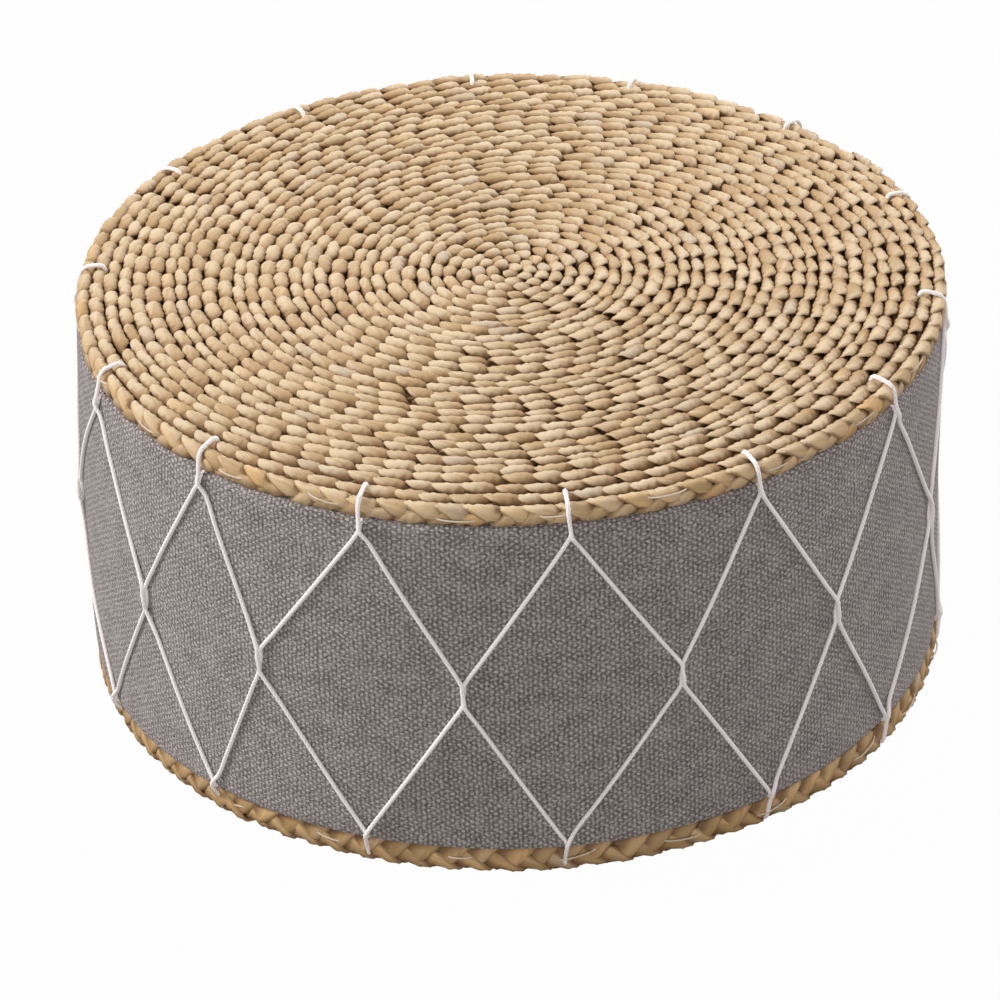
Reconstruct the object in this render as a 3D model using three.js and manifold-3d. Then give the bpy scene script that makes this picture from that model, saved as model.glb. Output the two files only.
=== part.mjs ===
// Round floor pouf: two spiral mats of plaited leaf, a cloth sleeve over a foam core, and two laced cords.
// Millimetres, +Z up, origin on the floor under the middle, front towards -Y.
import * as THREE from "three";
import { mergeVertices } from "three/addons/utils/BufferGeometryUtils.js";
import Module from "manifold-3d";

const wasm = await Module();
wasm.setup();

// Overall sizes
const DIAMETER = 450; // across the rims of the mats
const HEIGHT = 222; // floor to the top of the plait
const CLEARANCE = 0.3; // left between pieces that touch
const OVERRUN = 5; // cuts run this far past what they cut
const MERGE_WITHIN = 1e-4; // corners this close are one corner

// Mats
const PLAIT_WIDTH = 15; // the plait stands on its edge, so this is a mat's thickness
const MAT_LOOPS = 24;
const LOOP_GAP = 0.6; // between one loop and the next
const START_SHARE = 0.75; // first loop's middle radius as a share of the pitch
const TOP_TAIL_DEG = 33; // where the top plait ends, from +X towards +Y
const BOTTOM_TAIL_DEG = 140;
const TAPER_DEG = 43; // the last stretch of the plait thins over this angle
const TAIL_SHARE = 0.4; // thickness left at the very end
const EDGE_SHARE = 0.3; // bevel of the plait's outer edge as a share of its thickness
const FINE_STEPS = 24; // steps in a loop
const COARSE_STEPS = 12; // steps in a loop near the middle
const TOP_COARSE_LOOPS = 11;
const BOTTOM_COARSE_LOOPS = 23;

// Sleeve and core
const SLEEVE_INSET = 1; // the sleeve stands this far inside the rims
const CLOTH_THICKNESS = 1.6;
const SHOULDER = 5; // bevel where the sleeve turns in under a mat
const HEM_WIDTH = 18;
const CROWN_WIDTH = 8; // the cushion's faces rise from the hem to the mat over this width
const FOAM_SHARES = [0.4, 0.4, 0.2]; // heights of the lower, middle and upper foam
const ROUND_FACETS = 40;

// Lacing
const HOOKS = 14; // round each rim
const FIRST_HOOK_DEG = -84; // the hook nearest the front
const HOOK_LOOPS = 2; // loops that each hook goes over
const CORD_DIAMETER = 2.4;
const CORD_SIDES = 6;
const STRAND_OFFSET = 1.4; // half the distance between two strands side by side
const CROSSING_DEPTH = 6; // from a mat to the crossing beside it
const CROSSING_LIFT = 2.9; // how far the front strand stands off the one behind
const FAN_DEPTH = 13; // from a mat to where the strands have parted
const FAN_OFFSET = 4.5;
const NECK_LENGTH = 15; // where two strands twist round each other at half height
const NECK_STEPS = 4;
const LEG_STEPS = 3;
const BEND = 2.2; // size of the cord's tight bends
const BEND_ROOM = 1.4; // cut from the plait beside those bends
const END_GAP = 1; // between the two ends of a cord, hidden under the top mat

// Colours, roughness
const STRAW = { color: 0xcfae7c, roughness: 0.75 };
const CLOTH = { color: 0x7d7371, roughness: 0.95 };
const LINING = { color: 0x5f5856, roughness: 0.95 };
const COTTON = { color: 0xebe4e1, roughness: 0.85 };
const FIRM_FOAM = { color: 0xd9d2b8, roughness: 0.9 };
const SOFT_FOAM = { color: 0xefe9dc, roughness: 0.9 };

// Worked out from the values above
const RIM_RADIUS = DIAMETER / 2;
const CORD_RADIUS = CORD_DIAMETER / 2;
const CORD_SEAT = CLEARANCE + CORD_RADIUS; // a surface to the middle of a cord on it
const CORD_SLOT = CORD_DIAMETER + 2 * CLEARANCE;
const PITCH = (RIM_RADIUS + LOOP_GAP / 2) / (MAT_LOOPS + 0.5 + START_SHARE);
const PLAIT_THICKNESS = PITCH - LOOP_GAP;
const TAIL_RADIUS = RIM_RADIUS + LOOP_GAP / 2;
const CENTRE_SHIFT = PITCH / Math.PI; // sets the spiral's outline true with the sleeve
const SLEEVE_RADIUS = RIM_RADIUS - SLEEVE_INSET;
const SLEEVE_CORD = SLEEVE_RADIUS + CORD_SEAT;
const BODY_LOW = PLAIT_WIDTH + CLEARANCE;
const BODY_HIGH = HEIGHT - PLAIT_WIDTH - CLEARANCE;
const HEM_RADIUS = SLEEVE_RADIUS - HEM_WIDTH;
const CROWN_RADIUS = HEM_RADIUS - CROWN_WIDTH;
const CROWN = CORD_SLOT - CLEARANCE; // leaves room for the cord between a hem and its mat
const radians = THREE.MathUtils.degToRad;
const TURN = 2 * Math.PI;

// A point at a distance from the axis, an angle and a height
function polar(radius, angle, z) {
  return new THREE.Vector3(radius * Math.cos(angle), radius * Math.sin(angle), z);
}

// The manifold-3d solid of a geometry
function toSolid(geometry) {
  const bare = geometry.clone();
  bare.deleteAttribute("normal");
  bare.deleteAttribute("uv");
  const merged = mergeVertices(bare, MERGE_WITHIN);
  return new wasm.Manifold(
    new wasm.Mesh({
      numProp: 3,
      vertProperties: merged.attributes.position.array,
      triVerts: new Uint32Array(merged.index.array),
    }),
  );
}

function toGeometry(solid) {
  const mesh = solid.getMesh();
  return new THREE.BufferGeometry()
    .setAttribute("position", new THREE.BufferAttribute(mesh.vertProperties, 3))
    .setIndex(new THREE.BufferAttribute(mesh.triVerts, 1));
}

// A closed solid through a row of rings with the same number of corners
function loft(rings) {
  const sides = rings[0].length;
  const corner = (ring, side) => ring * sides + (side % sides);
  const index = [];
  for (let ring = 0; ring + 1 < rings.length; ring++) {
    for (let side = 0; side < sides; side++) {
      index.push(corner(ring, side), corner(ring, side + 1), corner(ring + 1, side + 1));
      index.push(corner(ring, side), corner(ring + 1, side + 1), corner(ring + 1, side));
    }
  }
  const last = rings.length - 1;
  for (let side = 1; side + 1 < sides; side++) {
    index.push(corner(0, 0), corner(0, side + 1), corner(0, side));
    index.push(corner(last, 0), corner(last, side), corner(last, side + 1));
  }
  const points = rings.flat().flatMap((point) => point.toArray());
  return new THREE.BufferGeometry()
    .setAttribute("position", new THREE.Float32BufferAttribute(points, 3))
    .setIndex(index);
}

// A mat is made lying on its inner side, wound outwards towards rising angles, and then placed.

// How far an angle lies behind the tail, from 0 to a full turn
function behindTail(angle, tail) {
  return THREE.MathUtils.euclideanModulo(tail - angle, TURN);
}

// What the taper takes off the plait's thickness at an angle behind the tail
function taperLoss(behind) {
  const left = Math.max(0, 1 - behind / radians(TAPER_DEG));
  return PLAIT_THICKNESS * (1 - TAIL_SHARE) * left;
}

// The radius of a mat's outer face, about the stool's own axis
function rimRadius(angle, tail) {
  const behind = behindTail(angle, tail);
  const spiral = RIM_RADIUS + PITCH * (0.5 - behind / TURN);
  return spiral - CENTRE_SHIFT * Math.sin(behind) - taperLoss(behind);
}

// Turns before the tail at which the plait has a ring of corners
function windingSteps(coarseLoops) {
  const steps = [];
  const fineLoops = MAT_LOOPS - coarseLoops;
  for (let step = 0; step <= fineLoops * FINE_STEPS; step++) steps.push(step / FINE_STEPS);
  for (let step = 1; step <= coarseLoops * COARSE_STEPS; step++) {
    steps.push(fineLoops + step / COARSE_STEPS);
  }
  return steps.reverse();
}

// The plait's corners at one place, inner side down, as [share of the thickness from its middle, height]
const BEVEL_START = PLAIT_WIDTH - EDGE_SHARE * PLAIT_THICKNESS;
const FLAT_SHARE = 0.5 - EDGE_SHARE;
const BEVELLED = [
  [-0.5, 0],
  [-0.5, BEVEL_START],
  [-FLAT_SHARE, PLAIT_WIDTH],
  [FLAT_SHARE, PLAIT_WIDTH],
  [0.5, BEVEL_START],
  [0.5, 0],
];
const SQUARE = [
  [-0.5, 0],
  [-0.5, PLAIT_WIDTH],
  [0.5, PLAIT_WIDTH],
  [0.5, 0],
];

function windingRings(section, coarseLoops, tail) {
  const centre = polar(CENTRE_SHIFT, tail + Math.PI / 2, 0);
  const ringAt = (turns, along) => {
    const angle = tail - turns * TURN;
    const loss = turns < 1 ? taperLoss(turns * TURN) : 0;
    const middle = TAIL_RADIUS - PITCH * turns - loss / 2;
    const onward = polar(along, angle + Math.PI / 2, 0);
    return section.map(([share, z]) =>
      polar(middle + share * (PLAIT_THICKNESS - loss), angle, z).add(centre).add(onward),
    );
  };
  const steps = windingSteps(coarseLoops);
  const rings = steps.map((turns) => ringAt(turns, 0));
  // Both ends run straight for the plait's own thickness
  rings.unshift(ringAt(steps[0], -PLAIT_THICKNESS));
  rings.push(ringAt(0, PLAIT_THICKNESS));
  return rings;
}

// The least distance between the inner face of each loop and the outer face of the loop inside it
function leastLoopGap(rings) {
  const inner = rings.map((ring) => ring[0]);
  const outer = rings.map((ring) => ring[ring.length - 1]);
  const halfLoop = COARSE_STEPS / 2;
  let least = Infinity;
  outer.forEach((point, at) => {
    for (let other = at + halfLoop; other + 1 < inner.length; other++) {
      const run = new THREE.Line3(inner[other], inner[other + 1]);
      const near = run.closestPointToPoint(point, true, new THREE.Vector3());
      least = Math.min(least, near.distanceTo(point));
    }
  });
  return least;
}

// A box that spans two radii, a width and two heights at a hook
function cutter([radiusLow, radiusHigh], [side, width], [low, high], angle) {
  const box = new THREE.BoxGeometry(radiusHigh - radiusLow, width, high - low);
  box.translate((radiusLow + radiusHigh) / 2, side, (low + high) / 2);
  return toSolid(box.rotateZ(angle));
}

// Where the cord goes through a mat
function plungeRadius(angle, tail) {
  return rimRadius(angle, tail) - HOOK_LOOPS * PITCH + LOOP_GAP / 2;
}

// The ways for the cord through a mat, and across its outer side where the cord is sunk
function cordWays(angles, side, tail, sunk) {
  const beyond = PLAIT_WIDTH + OVERRUN;
  return angles.flatMap((angle) => {
    const plunge = plungeRadius(angle, tail);
    const slot = [plunge - CORD_SLOT / 2, plunge + CORD_SLOT / 2 + BEND_ROOM];
    const channel = [slot[0], RIM_RADIUS + OVERRUN];
    const ways = [cutter(slot, [side, CORD_SLOT], [-OVERRUN, beyond], angle)];
    if (sunk) ways.push(cutter(channel, [side, CORD_SLOT], [PLAIT_WIDTH - CORD_SLOT, beyond], angle));
    return ways;
  });
}

function makeMat({ section, coarseLoops, tail, hooks, side, sunk, name }) {
  const rings = windingRings(section, coarseLoops, tail);
  console.log(name + " least gap between loops " + leastLoopGap(rings).toFixed(2) + " mm");
  const ways = wasm.Manifold.union(cordWays(hooks, side, tail, sunk));
  return toGeometry(toSolid(loft(rings)).subtract(ways));
}

const spacing = TURN / HOOKS;
const hookAngles = Array.from({ length: HOOKS }, (_, at) => radians(FIRST_HOOK_DEG) + at * spacing);
const topTail = radians(TOP_TAIL_DEG);
const bottomTail = -radians(BOTTOM_TAIL_DEG); // the bottom mat is turned over

// Cloth and foam, turned about the axis
function turned(profile) {
  const points = profile.map(([radius, z]) => new THREE.Vector2(radius, z));
  const lathe = new THREE.LatheGeometry(points, ROUND_FACETS);
  return lathe.rotateX(Math.PI / 2);
}

// The sleeve's closed outline, with its hems turned in over the core
function makeSleeve() {
  const inner = SLEEVE_RADIUS - CLOTH_THICKNESS;
  const bevel = SHOULDER - CLOTH_THICKNESS * (2 - Math.SQRT2);
  const low = BODY_LOW + CROWN;
  const high = BODY_HIGH - CROWN;
  const innerLow = low + CLOTH_THICKNESS;
  const innerHigh = high - CLOTH_THICKNESS;
  return turned([
    [HEM_RADIUS, low],
    [SLEEVE_RADIUS - SHOULDER, low],
    [SLEEVE_RADIUS, low + SHOULDER],
    [SLEEVE_RADIUS, high - SHOULDER],
    [SLEEVE_RADIUS - SHOULDER, high],
    [HEM_RADIUS, high],
    [HEM_RADIUS, innerHigh],
    [inner - bevel, innerHigh],
    [inner, innerHigh - bevel],
    [inner, innerLow + bevel],
    [inner - bevel, innerLow],
    [HEM_RADIUS, innerLow],
    [HEM_RADIUS, low],
  ]);
}

// A crowned face from the axis to a radius: flat in the middle, falling to the hem's level
function crownedFace(face, inwards) {
  return [
    [0, face],
    [CROWN_RADIUS, face],
    [HEM_RADIUS - CLEARANCE, face + inwards * CROWN],
  ];
}

function makeClothDisc(outside, inwards) {
  const inside = outside + inwards * CLOTH_THICKNESS;
  const [low, high] = inwards > 0 ? [outside, inside] : [inside, outside];
  return turned([...crownedFace(low, inwards), ...crownedFace(high, inwards).reverse()]);
}

// A foam disc; its ends that meet the cloth are crowned and bevelled like the sleeve
function makeFoam(low, high, crownedLow, crownedHigh) {
  const radius = SLEEVE_RADIUS - CLOTH_THICKNESS - CLEARANCE;
  const end = (face, inwards) => [
    ...crownedFace(face, inwards),
    [radius - SHOULDER, face + inwards * CROWN],
    [radius, face + inwards * (CROWN + SHOULDER)],
  ];
  const flat = (face) => [[0, face], [radius, face]];
  const foot = crownedLow ? end(low, 1) : flat(low);
  const head = crownedHigh ? end(high, -1) : flat(high);
  return turned([...foot, ...head.reverse()]);
}

// The cord's route is a list of places, and each place is a step of the tube.
class Route extends THREE.Curve {
  constructor(places) {
    super();
    this.places = places;
  }
  getPoint(share, target = new THREE.Vector3()) {
    const last = this.places.length - 1;
    const at = Math.min(Math.floor(share * last), last - 1);
    return target.lerpVectors(this.places[at], this.places[at + 1], share * last - at);
  }
  getPointAt(share, target) {
    return this.getPoint(share, target);
  }
  getTangentAt(share, target = new THREE.Vector3()) {
    const step = 0.5 / (this.places.length - 1);
    const ahead = this.getPoint(Math.min(1, share + step));
    return target.copy(ahead).sub(this.getPoint(Math.max(0, share - step))).normalize();
  }
}

function makeCord(places) {
  const outline = Array.from({ length: CORD_SIDES }, (_, side) => {
    const angle = (side * TURN) / CORD_SIDES;
    return new THREE.Vector2(CORD_RADIUS * Math.cos(angle), CORD_RADIUS * Math.sin(angle));
  });
  return new THREE.ExtrudeGeometry(new THREE.Shape(outline), {
    steps: places.length - 1,
    extrudePath: new Route(places),
  });
}

// A place beside an angle: how far to its right seen from outside, radius and height
function beside(angle, side, radius, z) {
  return polar(radius, angle + side / RIM_RADIUS, z);
}

// One hook, as [side, radius, height above the mat's inner side]: the cord comes up from the left in front
// of the crossing, goes in under the mat, through it, back over its rim and down behind the crossing.
const GOES_IN = 3; // the place in the list from which the cord runs in under the mat
function hookPlaces(angle, rim, plunge, outer, bevel) {
  const left = -STRAND_OFFSET;
  const bend = BEND * (1 - Math.SQRT1_2);
  const corner = bevel + CORD_SEAT * (2 - Math.SQRT2);
  const face = rim + CORD_SEAT;
  const shown = Math.max(face, SLEEVE_CORD);
  const inside = -CORD_SEAT; // between the hem and the mat
  return [
    [-FAN_OFFSET, SLEEVE_CORD + CROSSING_LIFT / 2, -FAN_DEPTH],
    [0, SLEEVE_CORD + CROSSING_LIFT, -CROSSING_DEPTH],
    [STRAND_OFFSET, shown + bend, inside - BEND],
    [STRAND_OFFSET, rim - bend, inside],
    [left, plunge + BEND, inside],
    [left, plunge, inside + BEND],
    [left, plunge, outer - BEND],
    [left, plunge + BEND, outer],
    [left, face - corner, outer],
    [left, face, outer - corner],
    [left, shown, inside],
    [0, SLEEVE_CORD, -CROSSING_DEPTH],
    [FAN_OFFSET, SLEEVE_CORD, -FAN_DEPTH],
  ].map(([side, radius, above]) => ({ angle, side, radius, above }));
}

// Straight legs are cut into short runs that keep to the sleeve's round side.
function legPlaces(from, to) {
  const start = { angle: Math.atan2(from.y, from.x), radius: Math.hypot(from.x, from.y) };
  const turn = THREE.MathUtils.euclideanModulo(Math.atan2(to.y, to.x) - start.angle, TURN);
  const radius = Math.hypot(to.x, to.y);
  return Array.from({ length: LEG_STEPS - 1 }, (_, at) => {
    const share = (at + 1) / LEG_STEPS;
    const out = THREE.MathUtils.lerp(start.radius, radius, share);
    return polar(out, start.angle + turn * share, THREE.MathUtils.lerp(from.z, to.z, share));
  });
}

// Two strands twist half round each other at half height: the one on its way down passes in front.
function neckPlaces(angle, goingDown) {
  const direction = goingDown ? 1 : -1;
  const middle = SLEEVE_CORD + STRAND_OFFSET;
  return Array.from({ length: NECK_STEPS + 1 }, (_, at) => {
    const share = at / NECK_STEPS;
    const side = -STRAND_OFFSET * Math.cos(Math.PI * share);
    const radius = middle + direction * STRAND_OFFSET * Math.sin(Math.PI * share);
    return beside(angle, side, radius, HEIGHT / 2 + direction * NECK_LENGTH * (0.5 - share));
  });
}

// The whole cord, from a gap under the top mat right round to the other side of that gap
function cordPlaces(firstHook) {
  const rows = [];
  for (let hook = 0; hook < HOOKS; hook++) {
    const atTop = hook % 2 === 0;
    const angle = hookAngles[(firstHook + hook) % HOOKS];
    const local = atTop ? angle : -angle;
    const tail = atTop ? topTail : bottomTail;
    const outer = atTop ? PLAIT_WIDTH + CORD_SEAT : PLAIT_WIDTH - CORD_SEAT;
    const thickness = PLAIT_THICKNESS - taperLoss(behindTail(local, tail));
    const bevel = atTop ? EDGE_SHARE * thickness : 0;
    const level = (above) => (atTop ? HEIGHT - PLAIT_WIDTH + above : PLAIT_WIDTH - above);
    const places = hookPlaces(angle, rimRadius(local, tail), plungeRadius(local, tail), outer, bevel);
    rows.push(places.map((place) => beside(place.angle, place.side, place.radius, level(place.above))));
    rows.push(neckPlaces(angle + spacing / 2, atTop));
  }
  const route = rows.flatMap((row, at) => {
    const next = rows[(at + 1) % rows.length];
    return [...row, ...legPlaces(row[row.length - 1], next[0])];
  });
  // The two ends meet where the first hook runs in under the mat
  const onwards = GOES_IN + 1;
  const run = new THREE.Line3(route[GOES_IN], route[onwards]);
  const half = END_GAP / 2 / run.distance();
  const start = run.at(0.5 + half, new THREE.Vector3());
  const end = run.at(0.5 - half, new THREE.Vector3());
  return [start, ...route.slice(onwards), ...route.slice(0, onwards), end];
}

// Assembly
const stool = new THREE.Group();

function addPiece(name, geometry, { color, roughness }) {
  const mesh = new THREE.Mesh(geometry, new THREE.MeshStandardMaterial({ color, roughness, metalness: 0 }));
  mesh.name = name;
  stool.add(mesh);
  return mesh;
}

const topMat = makeMat({
  name: "top_mat",
  section: BEVELLED,
  coarseLoops: TOP_COARSE_LOOPS,
  tail: topTail,
  hooks: hookAngles,
  side: -STRAND_OFFSET,
  sunk: false,
});
addPiece("top_mat", topMat, STRAW).position.z = HEIGHT - PLAIT_WIDTH;

const bottomMat = makeMat({
  name: "bottom_mat",
  section: SQUARE,
  coarseLoops: BOTTOM_COARSE_LOOPS,
  tail: bottomTail,
  hooks: hookAngles.map((angle) => -angle),
  side: STRAND_OFFSET,
  sunk: true,
});
const turnedOver = addPiece("bottom_mat", bottomMat, STRAW);
turnedOver.rotation.x = Math.PI;
turnedOver.position.z = PLAIT_WIDTH;

addPiece("side_sleeve", makeSleeve(), CLOTH);
addPiece("bottom_cloth", makeClothDisc(BODY_LOW, 1), LINING);
addPiece("top_cloth", makeClothDisc(BODY_HIGH, -1), LINING);

const foams = [
  ["lower_foam", FIRM_FOAM],
  ["middle_foam", FIRM_FOAM],
  ["upper_foam", SOFT_FOAM],
];
const foamLow = BODY_LOW + CLOTH_THICKNESS + CLEARANCE;
const foamHigh = BODY_HIGH - CLOTH_THICKNESS - CLEARANCE;
const foamHeight = foamHigh - foamLow - CLEARANCE * (foams.length - 1);
let foot = foamLow;
foams.forEach(([name, finish], at) => {
  const head = foot + FOAM_SHARES[at] * foamHeight;
  addPiece(name, makeFoam(foot, head, at === 0, at === foams.length - 1), finish);
  foot = head + CLEARANCE;
});

addPiece("lacing_cord_a", makeCord(cordPlaces(0)), COTTON);
addPiece("lacing_cord_b", makeCord(cordPlaces(1)), COTTON);

export default stool;
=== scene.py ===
"""The looks of a round floor pouf: plaited leaf mats, a woven side and laced cotton cord."""

import math

import bmesh
import bpy
import numpy as np
from bpy.props import FloatProperty, FloatVectorProperty, IntProperty, PointerProperty
from mathutils import Matrix, Vector


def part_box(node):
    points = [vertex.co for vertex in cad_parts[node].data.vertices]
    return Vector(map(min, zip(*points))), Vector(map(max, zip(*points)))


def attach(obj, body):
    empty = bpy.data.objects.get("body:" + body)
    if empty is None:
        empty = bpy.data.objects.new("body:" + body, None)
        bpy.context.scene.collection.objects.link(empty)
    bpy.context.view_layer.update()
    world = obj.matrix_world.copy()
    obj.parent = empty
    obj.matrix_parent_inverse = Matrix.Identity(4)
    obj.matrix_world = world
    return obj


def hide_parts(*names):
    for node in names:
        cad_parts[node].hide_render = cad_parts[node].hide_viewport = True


bl_info = {
    "name": "Plaited Pouf",
    "version": (1, 0, 0),
    "blender": (4, 5, 0),
    "location": "View3D > Sidebar > Pouf",
    "description": "Makes the plaited mats, woven side, lacing and stitches of a round floor pouf",
    "category": "Object",
}

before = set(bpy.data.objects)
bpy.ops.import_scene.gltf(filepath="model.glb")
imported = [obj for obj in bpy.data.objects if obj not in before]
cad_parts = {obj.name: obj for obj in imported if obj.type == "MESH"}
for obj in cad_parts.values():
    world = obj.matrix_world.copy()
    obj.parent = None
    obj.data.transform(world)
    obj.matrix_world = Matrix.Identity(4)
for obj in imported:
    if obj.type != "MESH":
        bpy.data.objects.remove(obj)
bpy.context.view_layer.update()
MAT_LOW, MAT_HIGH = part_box("top_mat")
MM = 0.001
TURN = 2 * math.pi
HEIGHT = MAT_HIGH.z
SEAT_SIDE = MAT_LOW.z  # the lower face of the top mat


# Settings


class PlaitSettings(bpy.types.PropertyGroup):
    """Sizes of the mats and of the three-strand plait that they are wound from"""

    radius: FloatProperty(
        name="Mat Radius",
        description="From the axis to the rim",
        default=225 * MM,
        unit="LENGTH",
        precision=4,
    )
    width: FloatProperty(
        name="Plait Width",
        description="Height of the plait on its edge",
        default=15 * MM,
        unit="LENGTH",
        precision=4,
    )
    pitch: FloatProperty(
        name="Pitch",
        description="From one turn of the spiral to the next",
        default=7.35 * MM,
        unit="LENGTH",
        precision=5,
    )
    start: FloatProperty(
        name="Start Radius",
        description="Radius of the innermost turn",
        default=2.5 * MM,
        unit="LENGTH",
        precision=4,
    )
    period: FloatProperty(
        name="Period",
        description="Length in which a strand crosses there and back",
        default=44.1 * MM,
        unit="LENGTH",
        precision=4,
    )
    leaf_width: FloatProperty(
        name="Strand Width",
        description="Width of one folded strand of leaf",
        default=13.6 * MM,
        unit="LENGTH",
        precision=4,
    )
    leaf_thickness: FloatProperty(
        name="Strand Thickness",
        description="Thickness of one strand at its middle",
        default=4.4 * MM,
        unit="LENGTH",
        precision=4,
    )
    gap: FloatProperty(
        name="Gap",
        description="Left between the outlines of neighbouring turns",
        default=0.25 * MM,
        unit="LENGTH",
        precision=5,
    )
    shingle: FloatProperty(
        name="Shingle",
        description="How far a strand lies under the next one",
        default=1.0 * MM,
        unit="LENGTH",
        precision=5,
    )
    askew: FloatProperty(
        name="Askew",
        description="How far the strands lie aslant on top, sideways over forwards",
        default=0.36,
    )
    stations: IntProperty(name="Stations", description="Facets along one period of a strand", default=19)
    shoulder_drop: FloatProperty(
        name="Shoulder Drop",
        description="How far the top mat sinks at its rim",
        default=4.6 * MM,
        unit="LENGTH",
        precision=4,
    )
    shoulder_width: FloatProperty(
        name="Shoulder Width",
        description="How far in from the rim that reaches",
        default=24 * MM,
        unit="LENGTH",
        precision=4,
    )
    leaf: FloatVectorProperty(
        name="Leaf",
        description="Colour of the darker strands",
        subtype="COLOR",
        size=3,
        default=(0.412, 0.27, 0.137),
    )
    leaf_pale: FloatVectorProperty(
        name="Pale Leaf",
        description="Colour of the palest strands",
        subtype="COLOR",
        size=3,
        default=(0.588, 0.459, 0.307),
    )
    leaf_warm: FloatVectorProperty(
        name="Warm Leaf",
        description="Colour of ripe strands",
        subtype="COLOR",
        size=3,
        default=(0.55, 0.34, 0.15),
    )
    leaf_grey: FloatVectorProperty(
        name="Grey Leaf",
        description="Colour of weathered strands",
        subtype="COLOR",
        size=3,
        default=(0.46, 0.39, 0.31),
    )
    # Painted shade: the brown that the leaf turns to in folds and grooves, standing in for shade
    leaf_painted_fold_shade: FloatVectorProperty(
        name="Brown Leaf",
        description="Colour of shaded folds",
        subtype="COLOR",
        size=3,
        default=(0.31, 0.175, 0.075),
    )
    # Painted shade: the dark that the leaf turns to deep in the plait and along the rim strands' edges
    leaf_painted_deep_shade: FloatVectorProperty(
        name="Deep Leaf",
        description="Colour down in the plait",
        subtype="COLOR",
        size=3,
        default=(0.18, 0.1, 0.045),
    )


class ClothSettings(bpy.types.PropertyGroup):
    """Sizes and colours of the woven side and of the pieces inside"""

    radius: FloatProperty(
        name="Side Radius",
        description="Outside of the woven side at its widest",
        default=227.4 * MM,
        unit="LENGTH",
        precision=4,
    )
    swell: FloatProperty(
        name="Swell",
        description="How much narrower the side is under the top mat",
        default=2.1 * MM,
        unit="LENGTH",
        precision=4,
    )
    lean: FloatProperty(
        name="Lean",
        description="How far the side sags to the left low down",
        default=2.8 * MM,
        unit="LENGTH",
        precision=4,
    )
    thickness: FloatProperty(
        name="Thickness", description="Thickness of the cloth", default=1.6 * MM, unit="LENGTH", precision=4
    )
    thread: FloatProperty(
        name="Thread",
        description="From one standing thread to the next",
        default=2.42 * MM,
        unit="LENGTH",
        precision=5,
    )
    pick: FloatProperty(
        name="Pick",
        description="From one crossing thread to the next",
        default=1.68 * MM,
        unit="LENGTH",
        precision=5,
    )
    yarn_pale: FloatVectorProperty(
        name="Pale Yarn",
        description="Colour of the pale yarn",
        subtype="COLOR",
        size=3,
        default=(0.50, 0.436, 0.42),
    )
    yarn_dark: FloatVectorProperty(
        name="Dark Yarn",
        description="Colour between the threads",
        subtype="COLOR",
        size=3,
        default=(0.10, 0.084, 0.080),
    )
    lining: FloatVectorProperty(
        name="Lining",
        description="Colour of the cloth under the mats",
        subtype="COLOR",
        size=3,
        default=(0.55, 0.50, 0.42),
    )


class LacingSettings(bpy.types.PropertyGroup):
    """Sizes and colours of the two laced cords"""

    hooks: IntProperty(name="Hooks", description="Hooks round each rim", default=14)
    first_hook: FloatProperty(
        name="First Hook",
        description="Angle of the hook nearest the front",
        subtype="ANGLE",
        default=math.radians(-84),
    )
    diameter: FloatProperty(
        name="Diameter", description="Thickness of the cord", default=2.4 * MM, unit="LENGTH", precision=4
    )
    lay: FloatProperty(
        name="Lay", description="Length of one twist of the cord", default=8 * MM, unit="LENGTH", precision=4
    )
    cotton: FloatVectorProperty(
        name="Cotton", description="Colour of the cord", subtype="COLOR", size=3, default=(0.93, 0.855, 0.84)
    )


class StageSettings(bpy.types.PropertyGroup):
    """Camera, light and floor"""

    distance: FloatProperty(
        name="Camera Distance", description="From the middle of the pouf", default=2.549, unit="LENGTH"
    )
    elevation: FloatProperty(
        name="Elevation",
        description="Camera's height above the horizon",
        subtype="ANGLE",
        default=math.radians(31.886),
    )
    roll: FloatProperty(
        name="Roll", description="Tilt of the picture", subtype="ANGLE", default=math.radians(1.76)
    )
    lens: FloatProperty(name="Lens", description="Focal length in millimetres", default=172.5)
    aim_side: FloatProperty(
        name="Aim Sideways",
        description="Picture's middle, to the right of the pouf's",
        default=-8.2 * MM,
        unit="LENGTH",
    )
    aim_up: FloatProperty(
        name="Aim Upwards",
        description="Picture's middle, above the pouf's",
        default=-26.1 * MM,
        unit="LENGTH",
    )


# Shader maths


class Field:
    """A number or colour that varies over a material, with the sums used here"""

    def __init__(self, finish, socket):
        self.finish = finish
        self.socket = socket

    def maths(self, operation, *values):
        """The result of a Math node on these values"""
        return self.finish.node("ShaderNodeMath", {"operation": operation}, dict(enumerate(values)))

    def __add__(self, other):
        return self.maths("ADD", self, other)

    def __sub__(self, other):
        return self.maths("SUBTRACT", self, other)

    def __rsub__(self, other):
        return self.maths("SUBTRACT", other, self)

    def __mul__(self, other):
        return self.maths("MULTIPLY", self, other)

    def __abs__(self):
        return self.maths("ABSOLUTE", self)

    __radd__ = __add__
    __rmul__ = __mul__

    def sine(self):
        return self.maths("SINE", self)

    def cosine(self):
        return self.maths("COSINE", self)

    def over(self, low, high):
        """0 below low, 1 above high and smooth between"""
        settings = {"interpolation_type": "SMOOTHSTEP"}
        inputs = {"Value": self, "From Min": low, "From Max": high}
        return self.finish.node("ShaderNodeMapRange", settings, inputs)


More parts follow.
